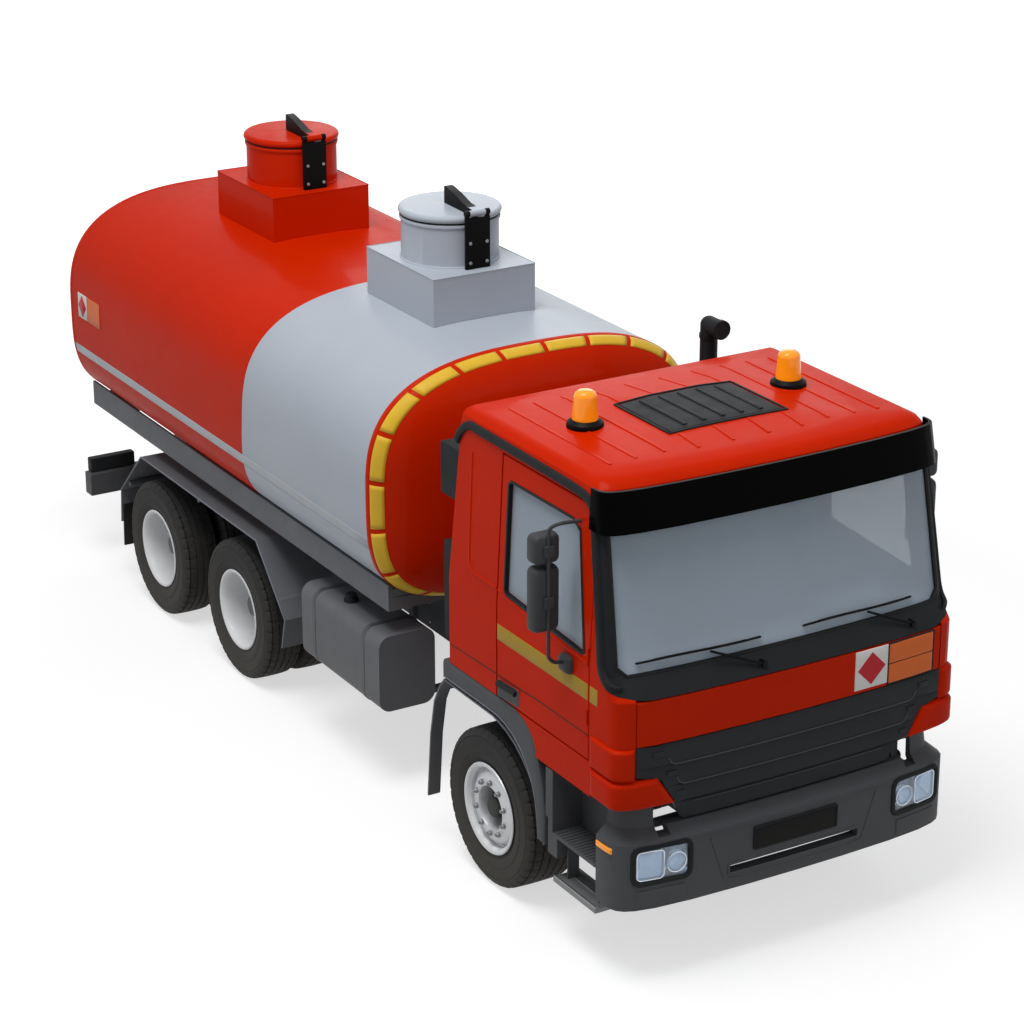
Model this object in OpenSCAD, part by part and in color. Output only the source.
// Three-axle cab-over tanker truck.
// X points forward, Y to the vehicle's left, Z up.  Sizes are in millimetres.
// Stations along the truck are first measured from the front axle, and every
// sub-part is then shifted so that the ground under the middle of the whole
// truck is the origin.

/* [Overall] */
// Distance from the front axle to the first rear axle
wheelbase = 3750; // [3400:10:4600]
// Distance between the two rear axles
bogie_spacing = 1415; // [1300:5:1700]
// Width over the cab's side panels
cab_width = 2500; // [2300:10:2600]
// Overhang of the tank's barrel behind the last axle
rear_overhang = 1355; // [1100:5:1800]

/* [Wheels] */
// Outer diameter of every tyre
tyre_diameter = 1070; // [900:5:1150]
// Width of a single front tyre
front_tyre_width = 385; // [300:5:400]
// Width of one rear tyre of a twin
rear_tyre_width = 300; // [250:5:320]
// Gap between the two tyres of a twin
twin_gap = 45; // [30:1:80]
// Diameter of the rim's bead seat
rim_diameter = 571; // [500:1:600]
// Distance from the middle of the truck to the front tyres' outer faces
front_outer_face = 1250; // [1150:5:1270]
// Distance from the middle of the truck to the rear tyres' outer faces
rear_outer_face = 1226; // [1150:5:1270]
// Distance from the middle of the truck to a kingpin
kingpin_offset = 900; // [820:5:930]
// Radius of a kingpin
kingpin_radius = 22; // [15:1:30]
// Radius of a wheel spindle
spindle_radius = 45; // [35:1:60]

/* [Frame] */
// Width over the frame rails' webs
frame_width = 850; // [760:5:900]
// Height of a frame rail
rail_height = 270; // [220:5:320]
// Width of a frame rail's flanges
rail_flange = 80; // [60:5:100]
// Thickness of the frame rails' steel
rail_thickness = 9; // [6:1:14]
// Height of the frame rails' upper face above the ground
frame_top = 1050; // [980:5:1120]

/* [Tank] */
// Full width of the tank barrel
tank_width = 2556; // [2300:2:2600]
// Full height of the tank barrel
tank_height = 1715; // [1400:5:1900]
// Length of the tank barrel between its two end rings
tank_length = 5000; // [4400:10:5600]
// Height of the tank barrel's underside above the ground
tank_bottom = 1330; // [1300:5:1450]
// Depth of the domed front end
front_dome_depth = 300; // [200:5:400]
// Depth of the domed rear end
rear_dome_depth = 180; // [120:5:250]
// Outer radius of a manhole neck
neck_radius = 343; // [280:1:380]
// Wall of a manhole neck
neck_wall = 13; // [8:1:30]
// Height of a manhole neck above its box
neck_height = 314; // [200:2:400]
// Height of a manhole box above the top of the barrel
box_rise = 328; // [200:2:400]
// Length of a manhole box along the truck
box_length = 962; // [900:2:1100]
// Full width of a manhole box
box_width = 810; // [780:2:1000]
// Thickness of a manhole lid
lid_thickness = 52; // [30:1:80]
// How far a lid's rim reaches past its neck
lid_overhang = 19; // [10:1:30]

/* [Cab] */
// Distance from the front axle to the cab's foremost face
cab_nose = 1585; // [1500:5:1700]
// Distance from the front axle back to the cab's rear wall
cab_tail = 480; // [400:5:600]
// Thickness of doors, walls and pillars
cab_wall = 60; // [45:1:80]
// Thickness of the window glass
glass_thickness = 8; // [5:1:12]
// Height of the cab floor's underside above the ground
floor_bottom = 1330; // [1300:5:1400]
// Height of the roof panel's lower edge above the ground
roof_line = 3045; // [2900:5:3200]
// Rear edge of a door, measured from the front axle
door_rear = 120; // [60:5:200]
// Front edge of a door, measured from the front axle
door_front = 1190; // [1150:5:1210]
// Gap round doors, flaps and hatches
panel_gap = 6; // [5:0.5:10]

/* [Front end] */
// Height of the bumper's upper face above the ground
bumper_top = 930; // [880:5:950]
// Height of the bumper's lower edge above the ground
bumper_bottom = 490; // [430:5:560]
// Distance the bumper stands ahead of the cab's foremost face
bumper_reach = 25; // [10:5:50]
// Thickness of the bumper's shell
bumper_wall = 70; // [50:5:90]

/* [Hidden] */
$fn = 48;

// Small clearances
seat_gap = 0.3;
running_gap = 0.3;
door_gap = 10;
hatch_gap = 8;
lid_seat = 0.5;

// Stations along the truck, from the front axle
middle_axle = -wheelbase;
rear_axle = -wheelbase - bogie_spacing;
tank_rear = rear_axle - rear_overhang;
tank_front = tank_rear + tank_length;
truck_front = cab_nose + bumper_reach;
truck_rear = tank_rear - rear_dome_depth;
centre_station = (truck_front + truck_rear) / 2;

// Heights
wheel_height = tyre_diameter / 2;
frame_bottom = frame_top - rail_height;
tank_middle = tank_bottom + tank_height / 2;
tank_top = tank_bottom + tank_height;
box_top = tank_top + box_rise;
neck_top = box_top + neck_height;

frame_rear = tank_rear + 120;
frame_front = cab_nose - 335;
frame_half = frame_width / 2;
cab_half = cab_width / 2;

// Shift from the front axle's frame to the truck's own frame
module placed() { translate([-centre_station, 0, 0]) children(); }
// A piece and its mirror image on the other side
module each_side() { children(); mirror([0, 1, 0]) children(); }
module mirrored() { mirror([0, 1, 0]) children(); }
module at(x) { translate([x, 0, 0]) children(); }
// A box given by its two corners
module span(low, high) { translate(low) cube(high - low); }
// A flat outline in X and Z, carried along Y from y0 to y1
module side_slab(outline, y0, y1) {
  translate([0, y1, 0]) rotate([90, 0, 0]) linear_extrude(y1 - y0) polygon(outline);
}
// A flat outline in Y and Z, carried along X from x0 to x1
module cross_slab(outline, x0, x1) {
  translate([x0, 0, 0]) rotate([90, 0, 90]) linear_extrude(x1 - x0) polygon(outline);
}
// A bent sheet: the outline of a band of even thickness along a path in X and Z
function unit(v) = v / norm(v);
function side_of(a, b) = let(d = unit(b - a)) [-d[1], d[0]];
function mitre(path, i) =
  i == 0 ? side_of(path[0], path[1])
  : i == len(path) - 1 ? side_of(path[i - 1], path[i])
  : let(p = side_of(path[i - 1], path[i]), q = side_of(path[i], path[i + 1])) (p + q) / (1 + p * q);
module bent_sheet(path, thickness, y0, y1) {
  last = len(path) - 1;
  side_slab(concat([for (i = [0 : last]) path[i] + mitre(path, i) * thickness / 2],
    [for (i = [last : -1 : 0]) path[i] - mitre(path, i) * thickness / 2]), y0, y1);
}
// A closed skin through a row of rings with equal numbers of points, each ring
// running anticlockwise as seen from the end the row runs towards
module loft(rings) {
  n = len(rings[0]);
  m = len(rings);
  polyhedron(points = [for (r = rings) for (p = r) p],
    faces = concat([[for (j = [0 : n - 1]) j]], [[for (j = [n - 1 : -1 : 0]) (m - 1) * n + j]],
      [for (i = [0 : m - 2]) for (j = [0 : n - 1]) for (half = [0, 1])
        let(a = i * n + j, b = i * n + (j + 1) % n)
        half == 0 ? [a, a + n, b] : [b, a + n, b + n]]));
}
// A round bar between two points
module rod(a, b, r) {
  d = b - a;
  translate(a) rotate([0, acos(d[2] / norm(d)), atan2(d[1], d[0])]) cylinder(r = r, h = norm(d));
}
// A rounded rectangle centred on the origin
module rounded_rect(w, h, r) {
  square([w - 2 * r, h], center = true);
  square([w, h - 2 * r], center = true);
  for (sx = [-1, 1], sy = [-1, 1]) translate([sx * (w / 2 - r), sy * (h / 2 - r)]) circle(r);
}

// ---------- wheels ----------

// Cross-section of a tyre in radius and width, with round shoulders
function tyre_outline(width) =
  let(r = tyre_diameter / 2, bead = rim_diameter / 2 + seat_gap, half = width / 2,
      shoulder = 40, bead_half = half - 22)
  concat(
    [[bead, -bead_half]],
    [[bead + 26, -bead_half], [bead + 62, -half + 4], [(bead + r) / 2, -half]],
    [for (a = [0 : 15 : 90]) [r - shoulder + shoulder * sin(a),
      -half + shoulder - shoulder * cos(a) + 6 * (1 - sin(a))]],
    [for (a = [90 : -15 : 0]) [r - shoulder + shoulder * sin(a),
      half - shoulder + shoulder * cos(a) - 6 * (1 - sin(a))]],
    [[(bead + r) / 2, half], [bead + 62, half - 4], [bead + 26, bead_half]],
    [[bead, bead_half]]);
// Tyre with its axle along Y and its middle at y
module tyre(y, width) {
  translate([0, y, 0]) rotate([-90, 0, 0]) rotate_extrude($fn = 96) polygon(tyre_outline(width));
}
front_wheel_middle = front_outer_face - front_tyre_width / 2;
outer_twin_middle = rear_outer_face - rear_tyre_width / 2;
inner_twin_middle = outer_twin_middle - rear_tyre_width - twin_gap;
twin_plane = (outer_twin_middle + inner_twin_middle) / 2;

module front_tyre() {
  color("#262626") translate([0, 0, wheel_height]) tyre(front_wheel_middle, front_tyre_width);
}
// Ring about the Y axis
module ring(r_out, r_in, y0, y1) {
  translate([0, y0, 0]) rotate([-90, 0, 0]) difference() {
    cylinder(r = r_out, h = y1 - y0, $fn = 96);
    translate([0, 0, -1]) cylinder(r = r_in, h = y1 - y0 + 2, $fn = 96);
  }
}
rim_wall = 10;
hub_radius = 140;
flange_rise = 22;
// Front rim: barrel with flanges, a disc close to its outer face and a hub on the spindle
module front_rim() {
  seat = rim_diameter / 2;
  inner = front_wheel_middle - front_tyre_width / 2 + 22;
  outer = front_wheel_middle + front_tyre_width / 2 - 22;
  color("#D5D8DC") translate([0, 0, wheel_height]) {
    ring(seat, seat - rim_wall, inner, outer);
    ring(seat + flange_rise, seat - rim_wall, outer + seat_gap, outer + 12);
    ring(seat + flange_rise, seat - rim_wall, inner - 12, inner - seat_gap);
    ring(seat, seat - rim_wall, inner - 1, inner);
    ring(seat, seat - rim_wall, outer, outer + 1);
    ring(seat - rim_wall + 1, hub_radius - 10, outer - 22, outer - 8);
    ring(hub_radius, hub_radius - 18, outer - 130, outer - 8);
    ring(hub_radius, spindle_radius + running_gap, kingpin_offset + 106, outer - 129);
  }
}
// Twin rims: two barrels whose discs meet at the twin's middle, and one hub
module twin_rims() {
  seat = rim_diameter / 2;
  half = rear_tyre_width / 2 - 22;
  color("#E4E4E4") translate([0, 0, wheel_height]) {
    for (middle = [inner_twin_middle, outer_twin_middle]) {
      ring(seat, seat - rim_wall, middle - half - 1, middle + half + 1);
      for (s = [-1, 1])
        ring(seat + flange_rise, seat - rim_wall,
             middle + s * (half + 6.5) - 6, middle + s * (half + 6.5) + 6);
    }
    ring(seat - rim_wall + 1, hub_radius - 1, twin_plane - 12, twin_plane + 12);
    ring(seat, seat - rim_wall, inner_twin_middle + half, outer_twin_middle - half);
    ring(hub_radius, spindle_radius + running_gap, twin_plane - 120, twin_plane + 40);
    ring(hub_radius - 8, hub_radius - 60, twin_plane + 39, twin_plane + 150);
    translate([0, twin_plane + 120, 0]) rotate([-90, 0, 0]) cylinder(r = hub_radius - 59, h = 30);
  }
}
module twin_tyres() {
  color("#262626") translate([0, 0, wheel_height]) {
    tyre(inner_twin_middle, rear_tyre_width);
    tyre(outer_twin_middle, rear_tyre_width);
  }
}

// ---------- axles and knuckles ----------

axle_eye_half = 70;
beam_half = 45;
lug_height = 40;
kingpin_gap = 2;
// Knuckle on the left side: two lugs, a kingpin, an upright and a spindle
module knuckle() {
  lug = axle_eye_half + kingpin_gap;
  color("#3A3B3D") translate([0, 0, wheel_height]) {
    for (s = [-1, 1])
      translate([0, kingpin_offset, s * (lug + lug_height / 2) - lug_height / 2]) {
        cylinder(r = 52, h = lug_height);
        span([-52, 0, 0], [52, 100, lug_height]);
      }
    translate([0, kingpin_offset, -lug - lug_height])
      cylinder(r = kingpin_radius, h = 2 * (lug + lug_height));
    span([-75, kingpin_offset + 66, -lug - lug_height], [75, kingpin_offset + 100, lug + lug_height]);
    translate([0, kingpin_offset + 99, 0]) rotate([-90, 0, 0])
      cylinder(r = spindle_radius, h = front_outer_face - 160 - kingpin_offset - 99);
    span([-190, kingpin_offset - 20, -lug - lug_height], [-40, kingpin_offset + 20, -lug - 8]);
  }
}
spring_half_width = 40;
spring_middle = frame_half - rail_flange / 2;
// One leaf spring pack in X and Z, half-length reach, resting at z0 and rising by rise
function spring_outline(reach, z0, rise, thick) = concat(
  [for (i = [-8 : 8]) [i / 8 * reach, z0 + rise * pow(i / 8, 2)]],
  [for (i = [8 : -1 : -8]) [i / 8 * reach,
    z0 + rise * pow(i / 8, 2) + thick * (1.15 - 0.65 * abs(i / 8))]]);
module front_axle() {
  eye_z = wheel_height;
  drop = wheel_height - 95;
  color("#2F3032") {
    difference() {
      union() {
        span([-beam_half, -kingpin_offset + 120, drop - 55], [beam_half, kingpin_offset - 120, drop + 35]);
        each_side() {
          side_slab([[-beam_half, drop - 55], [beam_half, drop - 55], [beam_half, eye_z + 40],
            [-beam_half, eye_z + 40]],
            kingpin_offset - 160, kingpin_offset - 100);
          span([-beam_half, kingpin_offset - 120, eye_z - 50], [beam_half, kingpin_offset, eye_z + 50]);
          translate([0, kingpin_offset, eye_z - axle_eye_half]) cylinder(r = 55, h = 2 * axle_eye_half);
        }
      }
      each_side() translate([0, kingpin_offset, eye_z - axle_eye_half - 1])
        cylinder(r = kingpin_radius + running_gap, h = 2 * axle_eye_half + 2);
    }
    each_side() {
      side_slab(spring_outline(760, drop + 34, frame_bottom - drop - 134, 70),
        spring_middle - spring_half_width, spring_middle + spring_half_width);
      for (x = [-735, 735])
        span([x - 25, spring_middle - spring_half_width, frame_bottom - 110],
             [x + 25, spring_middle + spring_half_width, frame_bottom - seat_gap]);
    }
  }
}
housing_radius = 85;
shaft_end_gap = 5;
module rear_axles() {
  spring_low = wheel_height + housing_radius - 5;
  bogie_middle = (middle_axle + rear_axle) / 2;
  color("#2F3032") {
    for (x = [middle_axle, rear_axle]) translate([x, 0, wheel_height]) {
      rotate([90, 0, 0]) cylinder(r = housing_radius, h = 2 * (inner_twin_middle - 160), center = true);
      rotate([90, 0, 0]) cylinder(r = 210, h = 260, center = true);
      rotate([90, 0, 0]) cylinder(r = spindle_radius, h = 2 * (twin_plane + 30), center = true);
      rotate([0, 90, 0]) translate([-40, 0, 0]) cylinder(r = 90, h = 300);
    }
    rod([middle_axle + 290, 0, wheel_height + 40], [gearbox_rear - shaft_end_gap, 0, frame_bottom - 20],
      55);
    rod([rear_axle + 290, 0, wheel_height + 40], [middle_axle - 150, 0, wheel_height + 40], 45);
    each_side() {
      side_slab([[rear_axle - 60, spring_low], [middle_axle + 60, spring_low],
        [middle_axle + 60, spring_low + 35],
          [bogie_middle + 120, spring_low + 95], [bogie_middle - 120, spring_low + 95],
            [rear_axle - 60, spring_low + 35]],
        spring_middle - spring_half_width, spring_middle + spring_half_width);
      span([bogie_middle - 110, spring_middle - spring_half_width, spring_low + 60],
           [bogie_middle + 110, spring_middle + spring_half_width, frame_bottom - seat_gap]);
    }
  }
}

// ---------- frame, engine and what hangs on them ----------

engine_front = 820;
engine_rear = -360;
gearbox_rear = -1300;
module frame_rails() {
  bogie_middle = (middle_axle + rear_axle) / 2;
  crossings = [frame_front - 80, gearbox_rear - 260, tank_front - 1300, bogie_middle, frame_rear + 60];
  color("#3A3B3D") {
    each_side() difference() {
      span([frame_rear, frame_half - rail_flange, frame_bottom], [frame_front, frame_half, frame_top]);
      span([frame_rear - 1, frame_half - rail_flange - 1, frame_bottom + rail_thickness],
           [frame_front + 1, frame_half - rail_thickness, frame_top - rail_thickness]);
    }
    for (x = crossings)
      span([x - 60, -frame_half + rail_thickness - 1, frame_bottom + 40],
        [x + 60, frame_half - rail_thickness + 1, frame_top - 40]);
  }
}
module engine_block() {
  color("#4A4C4E") {
    span([engine_rear, -320, frame_bottom - 170], [engine_front, 320, frame_top + 180]);
    span([gearbox_rear, -220, frame_bottom - 140], [engine_rear + 1, 220, frame_top - 60]);
    each_side() span([150, 319, frame_bottom + 60],
      [310, frame_half - rail_thickness - seat_gap, frame_top - 60]);
  }
}
pivot_x = cab_nose - 245;
pivot_z = bumper_top;
arm_low = 900;
arm_high = 950;
// Front cross tube that the cab turns on, and the rear cab support
module cab_mounts() {
  support_x = -cab_tail + 90;
  color("#2F3032") {
    translate([pivot_x, 0, pivot_z]) rotate([90, 0, 0])
      cylinder(r = 30, h = 2 * (arm_high + 40), center = true);
    each_side() {
      span([frame_front - 60, frame_half + seat_gap, frame_top - 220],
        [pivot_x - 20, frame_half + 40, frame_top - 60]);
      span([pivot_x - 45, frame_half + seat_gap, pivot_z - 45],
        [pivot_x + 45, frame_half + 40, pivot_z + 45]);
      span([support_x - 40, frame_half + seat_gap, frame_top - 150],
        [support_x + 40, frame_half + 60, floor_bottom - 60]);
    }
    span([support_x - 40, -frame_half - 60, floor_bottom - 70],
      [support_x + 40, frame_half + 60, floor_bottom - lid_seat]);
  }
}
// Fuel tank on the right side with its bracket arms
fuel_front = tank_front + 20;
fuel_rear = fuel_front - 1150;
fuel_bottom = 590;
fuel_top = 1150;
fuel_inner = 790;
fuel_outer = 1225;
module fuel_tank() {
  color("#48494C") {
    translate([fuel_rear, -(fuel_inner + fuel_outer) / 2, (fuel_bottom + fuel_top) / 2]) rotate([90, 0, 90])
      linear_extrude(fuel_front - fuel_rear)
        rounded_rect(fuel_outer - fuel_inner, fuel_top - fuel_bottom, 90);
    for (x = [fuel_rear + 200, fuel_front - 200]) {
      span([x - 30, -fuel_outer + 90, fuel_bottom - 30], [x + 30, -frame_half - seat_gap, fuel_bottom + 5]);
      span([x - 30, -frame_half - 30, fuel_bottom - 30], [x + 30, -frame_half - seat_gap, frame_top - 40]);
    }
  }
}
module battery_box() {
  color("#48494C") {
    span([fuel_front - 620, fuel_inner, fuel_bottom], [fuel_front, fuel_outer, fuel_top - 100]);
    for (x = [fuel_front - 520, fuel_front - 100])
      span([x - 30, frame_half + seat_gap, fuel_top - 160], [x + 30, fuel_inner + 1, fuel_top - 110]);
  }
}
module air_tanks() {
  rear = fuel_rear + 20;
  front = fuel_front - 680;
  color("#8A8D90") {
    for (y = [720, 1010]) translate([rear, y, fuel_bottom + 200]) rotate([0, 90, 0])
      cylinder(r = 125, h = front - rear);
    for (x = [rear + 110, front - 110])
      span([x - 15, frame_half + seat_gap, fuel_bottom + 190], [x + 15, 1010, fuel_bottom + 330]);
  }
}
// Curved intake stack behind the cab on the left, bent forward at its top
module intake_stack() {
  x = -cab_tail - 330;
  y = 940;
  top = roof_line + 165;
  color("#3C3D3F") {
    translate([x, y, frame_top - 120]) cylinder(r = 60, h = top - frame_top + 120);
    translate([x, y, top]) sphere(r = 60);
    translate([x, y, top]) rotate([0, 90, 0]) cylinder(r = 60, h = 150);
    span([x - 60, frame_half + seat_gap, frame_top - 200], [x + 60, y + 60, frame_top - 119]);
  }
}
// Dark boxes on the back of the cab
module cab_rear_boxes() {
  back = -cab_tail - 230;
  color("#26282A") difference() {
    union() {
      span([back - 60, 740, 1500], [-cab_tail + 100, 865, 2950]);
      span([back, -1180, 2465], [-cab_tail + 100, -1000, 2815]);
      span([back + 70, -1200, 1500], [-cab_tail + 60, -1130, 2170]);
    }
    cab_form(-seat_gap);
  }
}
// Trapezoid guards over the rear wheels, with their flaps and the tubes that hold them
guard_clear = 145;
guard_thick = 8;
module rear_fenders() {
  r = tyre_diameter / 2;
  top = wheel_height + r + 128;
  front = middle_axle + r + 235;
  rear = rear_axle - r - 185;
  path = [[rear - 25, 510], [rear, 790], [rear_axle - 298, top], [middle_axle + 328, top], [front, 730],
    [front - 60, 490]];
  bogie_middle = (middle_axle + rear_axle) / 2;
  color("#4A4A4A") each_side() {
    bent_sheet(path, guard_thick, 470, 1200);
    rod([bogie_middle, frame_half + seat_gap, top - 26], [bogie_middle, 1180, top - 26], 24);
    for (ends = [[path[1], path[2]], [path[4], path[3]]]) {
      p = ends[0] + 0.28 * (ends[1] - ends[0]);
      rod([p[0], frame_half + seat_gap, p[1] - 26], [p[0], 1180, p[1] - 26], 24);
    }
  }
}
module underrun_bar() {
  bar_front = tank_rear + 80;
  color("#48494C") {
    span([bar_front - 120, -1235, 555], [bar_front, 1235, 740]);
    each_side() span([bar_front - 100, frame_half + seat_gap, 600],
      [bar_front + 180, frame_half + 14, frame_top - 60]);
  }
}
module tail_lamps() {
  bar_front = tank_rear + 80;
  color("#A02018") each_side()
    span([bar_front - 120, 820, 740 + seat_gap], [bar_front - 40, 1210, 860]);
}

// ---------- tank ----------

// Rounded tank section in Y and Z about the barrel's middle: two halves of a
// superellipse, softer above than below
upper_power = 2.8;
lower_power = 3.7;
function curve_sign(v) = v < 0 ? -1 : 1;
function section_point(a, w, h) =
  let(n = sin(a) < 0 ? lower_power : upper_power)
  [w / 2 * curve_sign(cos(a)) * pow(abs(cos(a)), 2 / n),
    h / 2 * curve_sign(sin(a)) * pow(abs(sin(a)), 2 / n)];
function tank_section(grow, share = 1) =
  [for (a = [0 : 5 : 355]) section_point(a, tank_width * share + 2 * grow, tank_height * share + 2 * grow)];
function tank_ring(x, share) = [for (p = tank_section(0, share)) [x, p[0], tank_middle + p[1]]];
module tank_cutter(grow) {
  translate([tank_rear - 40, 0, tank_middle]) rotate([90, 0, 90]) linear_extrude(tank_length + 80)
    polygon(tank_section(grow));
}
// Share of a dome's depth at each ring; its section shrinks along a quarter ellipse
dome_steps = [0, 0.18, 0.4, 0.62, 0.8, 0.93, 0.99];
module tank_shell() {
  last = len(dome_steps) - 1;
  color("#B4BCC4") loft(concat(
    [for (i = [last : -1 : 0]) let(s = dome_steps[i])
      tank_ring(tank_rear - rear_dome_depth * s / dome_steps[last], sqrt(1 - s * s))],
    [for (s = dome_steps)
      tank_ring(tank_front + front_dome_depth * s / dome_steps[last], sqrt(1 - s * s))]));
}
skirt_outer = 1145;
skirt_thick = 20;
skirt_height = 190;
saddle_count = 4;
module tank_subframe() {
  saddle_pitch = (tank_length - 700) / (saddle_count - 1);
  color("#3C3D3F") difference() {
    union() {
      each_side() {
        span([tank_rear + 20, skirt_outer - skirt_thick, tank_bottom],
          [tank_front + 20, skirt_outer, tank_bottom + skirt_height]);
        span([tank_rear + 120, frame_half - rail_flange, frame_top + seat_gap],
          [tank_front - 40, frame_half, tank_bottom + 30]);
      }
      for (i = [0 : saddle_count - 1])
        translate([tank_rear + 350 + i * saddle_pitch, 0, 0]) {
          span([-40, -skirt_outer + 1, tank_bottom], [40, skirt_outer - 1, tank_bottom + skirt_height]);
          span([-40, -frame_half, tank_bottom - 120], [40, frame_half, tank_bottom + 60]);
        }
      span([tank_front, -skirt_outer + 1, tank_bottom],
        [tank_front + 20, skirt_outer - 1, tank_bottom + 90]);
    }
    tank_cutter(seat_gap);
  }
}
front_box_middle = tank_front - 1124;
rear_box_middle = tank_front - 3567;
module manhole(middle) {
  difference() {
    union() {
      span([middle - box_length / 2, -box_width / 2, tank_middle],
        [middle + box_length / 2, box_width / 2, box_top]);
      translate([middle, 0, box_top - 1]) cylinder(r = neck_radius, h = neck_height + 1, $fn = 96);
    }
    translate([middle, 0, tank_middle - 1])
      cylinder(r = neck_radius - neck_wall, h = neck_top - tank_middle + 2, $fn = 96);
    tank_cutter(seat_gap);
  }
}
module front_manhole() { color("#9AA0A8") manhole(front_box_middle); }
module rear_manhole() { color("#B82400") manhole(rear_box_middle); }
hinge_offset = neck_radius + lid_overhang + 17;
hinge_rise = 78;
hinge_pin_radius = 10;
hinge_ear = 18;
hinge_eye_half = 60;
bracket_half = 95;
module manhole_hinges() {
  color("#0C0C0C") for (middle = [front_box_middle, rear_box_middle])
    translate([middle + hinge_offset, 0, 0]) {
    span([-hinge_ear / 2, -bracket_half, box_top],
      [hinge_ear / 2 + 6, bracket_half, neck_top + hinge_rise - 30]);
    for (y = [-bracket_half, hinge_eye_half + 4])
      translate([0, y, neck_top + hinge_rise]) rotate([-90, 0, 0])
        cylinder(r = 22, h = bracket_half - hinge_eye_half - 4);
    for (y = [-bracket_half, hinge_eye_half + 4])
      span([-hinge_ear / 2, y, neck_top + hinge_rise - 31],
        [hinge_ear / 2, y + bracket_half - hinge_eye_half - 4, neck_top + hinge_rise]);
    translate([0, -bracket_half, neck_top + hinge_rise]) rotate([-90, 0, 0])
      cylinder(r = hinge_pin_radius, h = 2 * bracket_half);
  }
}
// Lid: a disc with a rolled rim, and a curved arm from its middle to the hinge eye
module manhole_lid(middle) {
  r = neck_radius + lid_overhang;
  low = neck_top + lid_seat;
  half = lid_thickness / 2;
  translate([middle, 0, low]) {
    rotate_extrude($fn = 96) polygon(concat(
      [[0, 0], [r - half, 0]],
      [for (a = [-75 : 15 : 75]) [r - half + half * cos(a), half + half * sin(a)]],
      [[r - half, lid_thickness], [0, lid_thickness + 8]]));
    difference() {
      side_slab([[-20, lid_thickness + 2], [120, lid_thickness - 1], [260, lid_thickness - 1],
        [hinge_offset - 14, hinge_rise - 18],
          [hinge_offset + 4, hinge_rise + 20], [240, hinge_rise + 34], [120, hinge_rise + 72],
            [20, hinge_rise + 96], [-20, hinge_rise + 100]],
        -32, 32);
      translate([hinge_offset, 0, hinge_rise - lid_seat]) rotate([90, 0, 0])
        cylinder(r = 12, h = 200, center = true);
    }
    translate([hinge_offset, 0, hinge_rise - lid_seat]) rotate([90, 0, 0]) difference() {
      cylinder(r = 21, h = 2 * hinge_eye_half, center = true);
      cylinder(r = hinge_pin_radius + running_gap, h = 2 * hinge_eye_half + 2, center = true);
    }
  }
}
module front_manhole_lid() { color("#B4BCC4") manhole_lid(front_box_middle); }
module rear_manhole_lid() { color("#B82400") manhole_lid(rear_box_middle); }

// ---------- cab ----------

cab_corner = 220;
bumper_corner = 360;
corner_power = 7;
nose_bulge = 45;
// Plan of the cab at one height: flat rear, straight sides, and a front that
// bulges slightly and turns into the sides along a superellipse corner
corner_shares = [0, 0.3, 0.6, 0.8, 0.9, 0.95, 0.98, 0.995, 0.9995, 1];
function front_quarter(nose, half, depth) = [for (s = corner_shares)
  [nose - nose_bulge * s * s - depth * (1 - pow(1 - pow(s, corner_power), 1 / corner_power)), half * s]];
function plan(nose, half, tail, depth = cab_corner) =
  let(q = front_quarter(nose, half, depth))
  concat(q, [[tail, half], [tail, -half]], [for (i = [len(q) - 1 : -1 : 1]) [q[i][0], -q[i][1]]]);
function plan_ring(z, nose, half, tail, depth = cab_corner) =
  [for (p = plan(nose, half, tail, depth)) [p[0], p[1], z]];
skirt_bottom = 1150;
belt = 1900;
mask_low = belt - 35;
mask_setback = 105;
screen_foot = belt + 85;
form_top = roof_line + 60;
tumblehome = 55;
screen_rake = 195;
rear_rake = 85;
// Share of the lean of the upper cab reached at a height
function lean(z) = (z - screen_foot) / (form_top - screen_foot);
function nose_at(z) = cab_nose - mask_setback - screen_rake * lean(z);
function half_at(z) = cab_half - tumblehome * lean(z);
function tail_at(z) = -cab_tail + rear_rake * lean(z);
// The cab's outer form, pulled in by inset at front and rear and by side_inset at the sides
module cab_form(inset, side_inset = undef) {
  g = is_undef(side_inset) ? inset : side_inset;
  past = inset > 0 ? 5 : 0;
  loft([
    plan_ring(skirt_bottom - 60 - past, cab_nose - inset, cab_half - g, -cab_tail + inset),
    plan_ring(mask_low, cab_nose - inset, cab_half - g, -cab_tail + inset),
    plan_ring(screen_foot, cab_nose - mask_setback - inset, cab_half - g, -cab_tail + inset),
    plan_ring(form_top + past, nose_at(form_top + past) - inset, half_at(form_top + past) - g,
      tail_at(form_top + past) + inset)]);
}
module cab_walls(wall) { difference() { cab_form(0); cab_form(wall); } }
door_bottom = 1385;
door_top = roof_line - 60;
sill_top = floor_bottom + 50;
flap_low = skirt_bottom + 15;
flap_half = cab_half - 125;
// Side outline of a door opening
pillar_bend = 2520;
pillar_lean = 81;
function door_outline(g) = [[door_rear - g, door_bottom - g], [door_front + g, door_bottom - g],
  [door_front + g, pillar_bend], [door_front - pillar_lean + g, door_top + g],
    [door_rear - g, door_top + g]];
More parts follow.
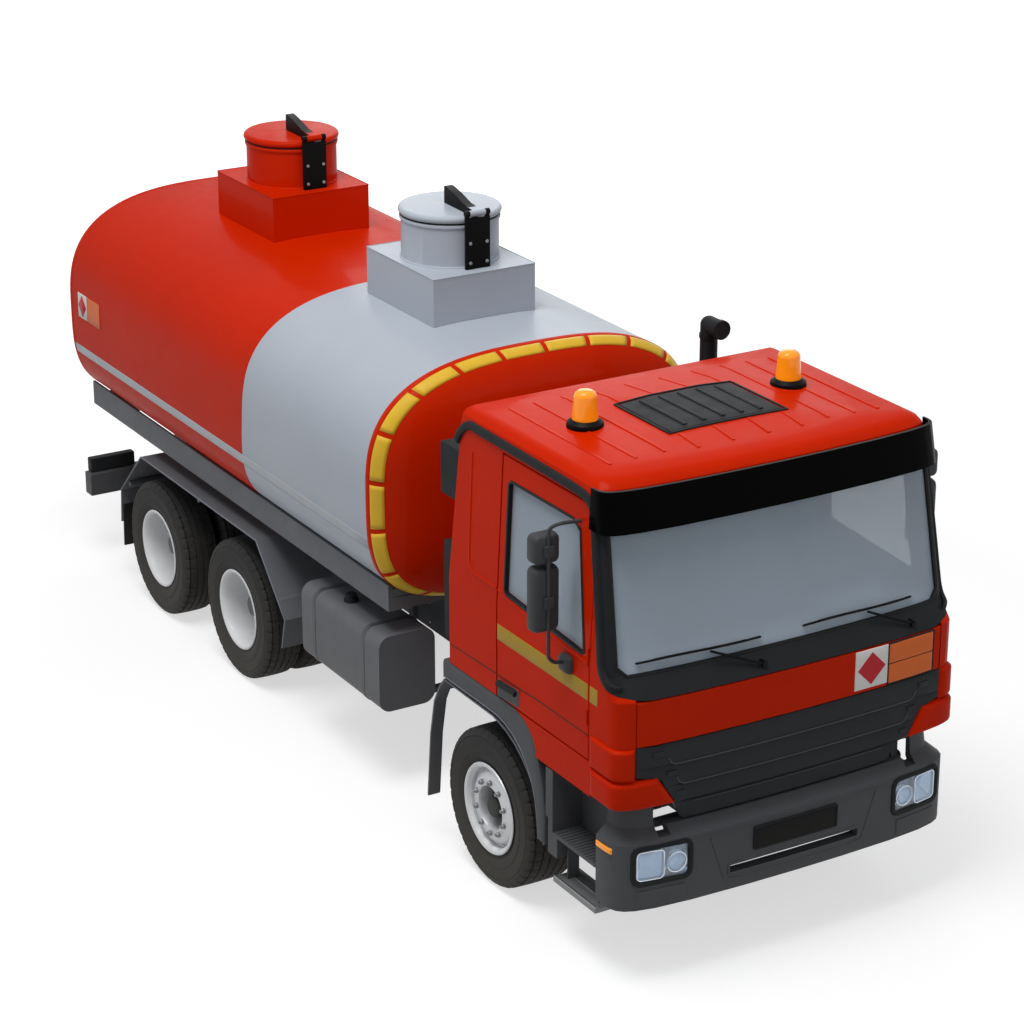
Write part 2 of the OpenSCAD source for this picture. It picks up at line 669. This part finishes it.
// Rear and lower boundary of the dark windscreen surround, closed round its front
function pillar_outline(g) = let(low = mask_low + seat_gap - g, edge = door_front + door_gap - g) [
  [edge - pillar_lean, roof_line + 100], [edge - pillar_lean, door_top], [edge, pillar_bend],
  [edge + 68, 2130], [edge + 102, screen_foot], [edge + 180, screen_foot - 65 - g],
  [cab_nose - 95, mask_low + 25 - g], [cab_nose - 45, low], [cab_nose + 20, low],
    [cab_nose + 20, roof_line + 100]];
window_rear = door_rear + 80;
window_front = door_front - 60;
window_low = 2105;
window_high = door_top - 140;
function window_outline(g) = [[window_rear - g, window_low + 20], [window_rear + 20, window_low - g],
  [window_front - 30, window_low - 58 - g], [window_front + g, window_low - 40],
  [window_front - 106 + g, window_high - 50], [window_front - 190, window_high + g],
  [window_rear + 25, window_high + g], [window_rear - g, window_high - 30]];
// Front outline of the windscreen opening, in Y and Z
screen_half_low = cab_half - 55;
screen_half_high = cab_half - 84;
screen_low = belt + 80;
screen_high = roof_line - 75;
function screen_outline(g) = let(c = 60) [
  [-screen_half_low + c, screen_low - g], [screen_half_low - c, screen_low - g],
    [screen_half_low + g, screen_low + c],
  [screen_half_high + g, screen_high - c], [screen_half_high - c, screen_high + g],
  [-screen_half_high + c, screen_high + g], [-screen_half_high - g, screen_high - c],
    [-screen_half_low - g, screen_low + c]];
arch_corner = 300;
arch_front = 594;
module cab_shell() {
  color("#B82400") {
    difference() {
      cab_walls(cab_wall);
      // lower edge: high behind the wheel arch, lower ahead of it
      side_slab(concat([[-cab_tail - 10, 1000], [arch_front + 40, 1000], [arch_front, skirt_bottom]],
          [for (a = [0 : 15 : 90]) [arch_front - arch_corner + arch_corner * cos(a),
            1380 - 230 + 230 * sin(a)]],
          [[-cab_tail - 10, 1380]]), -cab_half - 10, cab_half + 10);
      span([0, -cab_half - 10, 1000], [cab_nose + 10, cab_half + 10, skirt_bottom]);
      // roof, windscreen surround, flap, corner panels
      span([-cab_tail - 50, -cab_half - 10, roof_line - seat_gap],
        [cab_nose + 10, cab_half + 10, roof_line + 100]);
      side_slab(pillar_outline(1), -cab_half - 10, cab_half + 10);
      span([door_front + 24, -cab_half - 10, skirt_bottom - 100], [cab_nose + 10, cab_half + 10, 1567]);
      span([cab_nose - 250, -flap_half - panel_gap, skirt_bottom - 100],
        [cab_nose + 10, flap_half + panel_gap, screen_foot]);
      each_side() side_slab(door_outline(door_gap), cab_half - cab_wall - 60, cab_half + 10);
    }
  }
}
// Floor, bulkhead behind the service flap, and the arms that carry the cab on its front pivot
module cab_floor() {
  side = cab_half - cab_wall - seat_gap;
  color("#3A3B3D") {
    span([-cab_tail + cab_wall + seat_gap, -side, floor_bottom], [door_front + 20, side, sill_top]);
    span([cab_nose - 230, -cab_half + 130, floor_bottom], [cab_nose - 200, cab_half - 130, mask_low]);
    span([door_front + 19, -cab_half + 130, floor_bottom], [cab_nose - 200, cab_half - 130, sill_top]);
    each_side() difference() {
      union() {
        span([pivot_x - 40, arm_low, pivot_z], [pivot_x + 40, arm_high, floor_bottom + 1]);
        translate([pivot_x, arm_high, pivot_z]) rotate([90, 0, 0]) cylinder(r = 52, h = arm_high - arm_low);
      }
      translate([pivot_x, arm_high + 1, pivot_z]) rotate([90, 0, 0])
        cylinder(r = 30 + running_gap, h = arm_high - arm_low + 2);
    }
  }
}
hatch_rear = 187;
hatch_front = 762;
hatch_half = 416;
// Rise above the roof line, and the pull-in at front, sides and rear, of each ring of the roof
roof_steps = [[0, 0, 0, 0], [45, 12, 8, 4], [80, 45, 30, 15], [100, 95, 75, 35], [112, 250, 440, 200],
  [150, 600, 1000, 550]];
module roof_form(inset) {
  flatten = 1 - inset / 150;
  loft([for (r = roof_steps) plan_ring(roof_line + r[0] * flatten,
    nose_at(roof_line) - r[1] - inset, half_at(roof_line) - r[2] - inset, tail_at(roof_line)
      + r[3] + inset)]);
}
module cab_roof() {
  color("#CC2A00") difference() {
    roof_form(0);
    translate([0, 0, -1]) roof_form(45);
    span([hatch_rear - hatch_gap, -hatch_half - hatch_gap, roof_line - 10],
      [hatch_front + hatch_gap, hatch_half + hatch_gap, roof_line + 300]);
  }
}
module roof_hatch() {
  color("#323232") intersection() {
    difference() {
      translate([0, 0, 6]) roof_form(0);
      translate([0, 0, -34]) roof_form(0);
    }
    span([hatch_rear, -hatch_half, roof_line + 50], [hatch_front, hatch_half, roof_line + 300]);
  }
}
module windscreen_frame() {
  color("#303133") difference() {
    intersection() {
      cab_walls(cab_wall);
      side_slab(pillar_outline(0), -cab_half - 10, cab_half + 10);
    }
    span([-cab_tail - 50, -cab_half - 10, roof_line - seat_gap],
      [cab_nose + 10, cab_half + 10, roof_line + 100]);
    cross_slab(screen_outline(0), cab_nose - 500, cab_nose + 10);
  }
}
module windscreen() {
  color([0.55, 0.62, 0.7, 0.5]) intersection() {
    difference() { cab_form(14); cab_form(14 + glass_thickness); }
    cross_slab(screen_outline(-seat_gap), cab_nose - 500, cab_nose + 10);
  }
}
// Red corners below the windscreen, either side of the grille
corner_step = 1355;
step_gap = 16;
module corner_panels() {
  color("#B82400") difference() {
    cab_walls(cab_wall);
    span([-cab_tail - 50, -cab_half - 10, 900],
      [door_front + 24 + seat_gap, cab_half + 10, roof_line + 100]);
    span([-cab_tail - 50, -cab_half - 10, 1567 - seat_gap],
      [cab_nose + 10, cab_half + 10, roof_line + 100]);
    span([-cab_tail - 50, -cab_half - 10, 900], [cab_nose + 10, cab_half + 10, flap_low]);
    cross_slab([[-grille_low_half - panel_gap, 900], [grille_low_half + panel_gap, 900],
      [grille_low_half + panel_gap, flap_low],
        [grille_mid_half + panel_gap, corner_step], [flap_half + panel_gap, corner_step],
          [flap_half + panel_gap, 1600],
        [-flap_half - panel_gap, 1600], [-flap_half - panel_gap, corner_step],
          [-grille_mid_half - panel_gap, corner_step],
        [-grille_low_half - panel_gap, flap_low]], 1000, cab_nose + 10);
  }
}
grille_low_half = 861;
grille_mid_half = 985;
grille_top = 1567;
grille_wall = 32;
module front_panel() {
  color("#B82400") intersection() {
    cab_walls(cab_wall);
    span([1150, -flap_half, grille_top + seat_gap], [cab_nose + 10, flap_half, mask_low - panel_gap]);
  }
}
module grille() {
  color("#2A2B2B") intersection() {
    cab_walls(grille_wall);
    cross_slab([[-grille_low_half, flap_low], [grille_low_half, flap_low],
      [grille_mid_half, corner_step + step_gap],
        [flap_half, corner_step + step_gap], [flap_half, grille_top], [-flap_half, grille_top],
        [-flap_half, corner_step + step_gap], [-grille_mid_half, corner_step + step_gap]], 1150,
          cab_nose + 10);
  }
}
// Fixed lower part of the grille, leaning back to the bumper
lower_grille_lean = 50;
lower_grille_half = 760;
module lower_grille() {
  low = shoulder_low + seat_gap;
  high = flap_low - panel_gap - 5;
  color("#2A2B2B") intersection() {
    loft([plan_ring(low - 1, cab_nose - lower_grille_lean - 17, cab_half, 1000, bumper_corner),
      plan_ring(high + 1, cab_nose - lower_grille_lean, cab_half, 1000, bumper_corner)]);
    cross_slab([[-lower_grille_half, low], [lower_grille_half, low],
      [grille_low_half - 6, high], [-grille_low_half + 6, high]], cab_nose - 135, cab_nose + 10);
  }
}
visor_low = roof_line - 195;
visor_high = roof_line + 60;
module sun_visor() {
  color("#0A0A0A") {
    intersection() {
      difference() { cab_form(-62, -22); translate([0, 0, -1]) cab_form(-44, -8); }
      span([1140, -cab_half - 70, visor_low], [cab_nose + 100, cab_half + 70, visor_high - 2]);
    }
    difference() {
      intersection() {
        cab_form(-52, -15);
        for (y = [-700, 0, 700]) span([cab_nose - 450, y - 15, roof_line - 60],
          [cab_nose, y + 15, roof_line - 30]);
      }
      cab_form(-seat_gap);
    }
  }
}
beacon_x = 342;
beacon_y = 757;
module beacons() {
  foot = roof_line + 112;
  color("#FF9A10") each_side() translate([beacon_x, beacon_y, 0]) {
    difference() {
      translate([0, 0, foot - 15]) cylinder(r = 118, h = 63);
      translate([-beacon_x, -beacon_y, seat_gap]) roof_form(0);
    }
    translate([0, 0, foot + 47]) cylinder(r1 = 82, r2 = 70, h = 170);
    translate([0, 0, foot + 216]) cylinder(r1 = 70, r2 = 55, h = 24);
  }
}
dash_low = 1620;
dash_high = 1975;
wheel_centre = [cab_nose - 590, 600, 2050];
column_tilt = 35;
column_line = [sin(column_tilt), 0, -cos(column_tilt)];
module dashboard() {
  color("#4A5058") intersection() {
    union() {
      side_slab([[cab_nose - 230 - seat_gap, dash_low], [cab_nose - 230 - seat_gap, mask_low + seat_gap],
        [cab_nose - 120, mask_low + seat_gap],
          [cab_nose - 150, dash_high + 20], [cab_nose - 260, dash_high + 60],
            [cab_nose - 440, dash_high + 20],
          [cab_nose - 500, dash_high - 90], [cab_nose - 440, dash_low]], -cab_half + cab_wall + 15,
            cab_half - cab_wall - 15);
      rod(wheel_centre + 300 * column_line, wheel_centre + (15 + seat_gap) * column_line, 30);
    }
    cab_form(cab_wall + seat_gap);
  }
}
module steering_wheel() {
  color("#202224") translate(wheel_centre) rotate([0, -column_tilt, 0]) {
    rotate_extrude($fn = 64) translate([215, 0]) circle(16, $fn = 24);
    cylinder(r = 62, h = 30, center = true);
    for (a = [90, 210, 330]) rotate([0, 0, a]) span([50, -14, -9], [206, 14, 9]);
  }
}
seat_y = 600;
seat_half = 250;
module seats() {
  color("#5A6470") each_side() translate([150, seat_y, 0]) {
    span([60, -190, sill_top + seat_gap], [440, 190, 1650]);
    span([0, -seat_half, 1650 + seat_gap], [510, seat_half, 1790]);
    side_slab([[-20, 1790 + seat_gap], [110, 1790 + seat_gap], [10, 2420], [-95, 2420]], -seat_half,
      seat_half);
    side_slab([[-84, 2432], [-2, 2432], [-22, 2640], [-104, 2640]], -140, 140);
    for (y = [-60, 60]) rod([-45, y, 2419], [-47, y, 2433], 8);
  }
}

// ---------- doors and mirrors ----------

module door() {
  difference() {
    intersection() {
      cab_walls(cab_wall);
      side_slab(door_outline(0), cab_half - cab_wall - 60, cab_half + 10);
    }
    side_slab(window_outline(0), cab_half - 200, cab_half + 10);
  }
}
module door_glass() {
  intersection() {
    difference() { cab_form(26); cab_form(26 + glass_thickness); }
    side_slab(window_outline(-seat_gap), cab_half - 200, cab_half + 10);
  }
}
mirror_x = 885;
mirror_y = cab_half + 155;
mirror_half = 95;
mirror_tube = 100;
module mirrors() {
  difference() {
    mirror_parts();
    cab_form(-seat_gap);
  }
}
module mirror_parts() {
  translate([mirror_x, mirror_y, 0]) {
    span([0, -mirror_half, 2160], [95, mirror_half, 2585]);
    span([0, -mirror_half, 2600], [95, mirror_half, 2790]);
    rod([mirror_tube, 0, 2010], [mirror_tube, 0, 2853], 12);
    translate([mirror_tube, 0, 2010]) sphere(r = 14);
    rod([mirror_tube - 2, 18, 2847], [135, -mirror_y + half_at(2857) - 6, 2857], 10);
    rod([mirror_tube, 0, 2010], [70, -mirror_y + cab_half + 40, 1945], 12);
    span([5, -mirror_y + cab_half + seat_gap, 1870], [135, -mirror_y + cab_half + 45, 1990]);
  }
}

// ---------- bumper, lamps, steps ----------

bumper_nose = cab_nose + bumper_reach;
lamp_inner = 765;
lamp_outer = 1140;
lamp_low = 664;
lamp_high = 905;
slot_half = 481;
// Height where the bumper's sloping shoulder ends and its corner walls begin, and their top
shoulder_low = 1000;
corner_top = flap_low - 20;
corner_wall_inner = 966;
arm_slot_inner = 885;
// Height and pull-in of each ring of the bumper's outer and inner forms
bumper_rings = [[bumper_bottom, 0], [bumper_top, 0], [shoulder_low, 75], [corner_top, 90]];
bumper_inner_rings = [[bumper_bottom - 1, bumper_wall], [bumper_top - 30, bumper_wall],
  [shoulder_low - 32, 115], [corner_top + 1, 120]];
module bumper_form(rings, tail) {
  loft([for (r = rings) plan_ring(r[0], bumper_nose - r[1], cab_half - r[1], tail, bumper_corner)]);
}
module bumper() {
  color("#3F4042") {
    difference() {
      intersection() {
        bumper_form(bumper_rings, 1000);
        span([step_front + 8, -cab_half - 10, bumper_bottom - 10],
          [bumper_nose + 10, cab_half + 10, corner_top + 10]);
      }
      bumper_form(bumper_inner_rings, 900);
      // open above the shoulder between the corner walls, with slots for the cab's arms
      cross_slab([[-corner_wall_inner, 1300], [-corner_wall_inner, 950], [-arm_slot_inner, 950],
        [-arm_slot_inner, shoulder_low], [arm_slot_inner, shoulder_low], [arm_slot_inner, 950],
        [corner_wall_inner, 950], [corner_wall_inner, 1300]], 1100, bumper_nose + 10);
      span([1400, -slot_half, 605], [bumper_nose + 10, slot_half, 655]);
      each_side() span([1400, lamp_inner, lamp_low], [bumper_nose + 10, lamp_outer, lamp_high]);
    }
    each_side() span([frame_front - 100, frame_half + seat_gap, 670],
      [bumper_nose - bumper_wall + 20, frame_half + 30, 800]);
  }
}
module headlamps() {
  color("#C8D4E0") each_side() intersection() {
    translate([0, 0, bumper_bottom]) linear_extrude(bumper_top - bumper_bottom) difference() {
      polygon(plan(bumper_nose - 12, cab_half, 1000, bumper_corner));
      polygon(plan(bumper_nose - 60, cab_half, 900, bumper_corner));
    }
    span([1200, lamp_inner + seat_gap, lamp_low + seat_gap],
      [bumper_nose, lamp_outer - seat_gap, lamp_high - seat_gap]);
  }
}
// Arch over the front wheel, with the strip behind the wheel
arch_radius = 685;
arch_sheet = 12;
arch_flat = wheel_height + arch_radius;
module front_mudguards() {
  arch = concat([for (a = [4 : 9.5 : 80]) [arch_radius * cos(a), wheel_height + arch_radius * sin(a)]],
    [[60, arch_flat], [-557, arch_flat + 6]]);
  color("#4A4A4A") each_side() {
    bent_sheet(arch, arch_sheet, frame_half + 250, cab_half);
    span([-330, frame_half + seat_gap, frame_top - 90], [-270, frame_half + 15, arch_flat - 25]);
    rod([-300, frame_half + 14, arch_flat - 60], [-300, frame_half + 320, arch_flat - 60], 20);
    rod([-300, frame_half + 320, arch_flat - 78], [-300, frame_half + 320, arch_flat + 1], 20);
    bent_sheet([[-556, arch_flat + 6], [-620, 1150], [-690, 1020], [-745, 760], [-790, 290]], 14,
      cab_half - 90, cab_half);
  }
}
step_rear = 706;
step_front = door_front + 90;
niche_rear = step_rear + 84;
tread_top = 718;
tread_thick = 20;
module entry_steps() {
  color("#444548") each_side() {
    difference() {
      union() {
        span([step_rear, 960, 560], [niche_rear, cab_half, 1138]);
        span([niche_rear - 1, 960, 560], [niche_rear + 56, cab_half, tread_top - 1]);
        span([niche_rear - 1, 960, tread_top - tread_thick], [step_front, cab_half, tread_top]);
        span([niche_rear - 1, 960, tread_top - 1], [step_front, cab_half - 220, 1138]);
      }
      span([step_rear - 1, 900, 540], [step_rear + 30, cab_half + 1, 800]);
    }
    for (x = [niche_rear + 75, step_front - 60])
      span([x - 6, cab_half - 150, 400], [x + 6, cab_half - 65, tread_top - tread_thick + 1]);
    span([niche_rear, cab_half - 200, 380], [step_front - 10, cab_half - 10, 412]);
    span([step_rear + 200, frame_half + seat_gap, frame_bottom + 60],
      [step_rear + 260, 961, frame_bottom + 130]);
  }
}

placed() frame_rails();
placed() cab_mounts();
placed() tank_shell();
placed() tank_subframe();
placed() front_manhole();
placed() rear_manhole();
placed() manhole_hinges();
placed() front_manhole_lid();
placed() rear_manhole_lid();
placed() rear_fenders();
placed() underrun_bar();
placed() tail_lamps();
placed() fuel_tank();
placed() battery_box();
placed() air_tanks();
placed() front_axle();
placed() rear_axles();
placed() engine_block();
placed() intake_stack();
placed() cab_rear_boxes();
placed() bumper();
placed() headlamps();
placed() lower_grille();
placed() front_mudguards();
placed() entry_steps();
placed() cab_shell();
placed() cab_floor();
placed() cab_roof();
placed() windscreen();
placed() windscreen_frame();
placed() corner_panels();
placed() sun_visor();
placed() beacons();
placed() roof_hatch();
placed() dashboard();
placed() seats();
placed() steering_wheel();
placed() front_panel();
placed() grille();
placed() color("#B82400") door();  // left_door
placed() color("#B82400") mirror([0, 1, 0]) door();  // right_door
placed() color("#8694A4") door_glass();  // left_door_glass
placed() color("#8694A4") mirror([0, 1, 0]) door_glass();  // right_door_glass
placed() color("#45474A") mirrors();  // left_mirrors
placed() color("#45474A") mirror([0, 1, 0]) mirrors();  // right_mirrors
placed() knuckle();  // left_knuckle
placed() mirror([0, 1, 0]) knuckle();  // right_knuckle
placed() front_tyre();  // left_front_tyre
placed() mirror([0, 1, 0]) front_tyre();  // right_front_tyre
placed() front_rim();  // left_front_rim
placed() mirror([0, 1, 0]) front_rim();  // right_front_rim
placed() at(middle_axle) twin_tyres();  // left_middle_tyres
placed() at(middle_axle) mirrored() twin_tyres();  // right_middle_tyres
placed() at(middle_axle) twin_rims();  // left_middle_rims
placed() at(middle_axle) mirrored() twin_rims();  // right_middle_rims
placed() at(rear_axle) twin_tyres();  // left_rear_tyres
placed() at(rear_axle) mirrored() twin_tyres();  // right_rear_tyres
placed() at(rear_axle) twin_rims();  // left_rear_rims
placed() at(rear_axle) mirrored() twin_rims();  // right_rear_rims
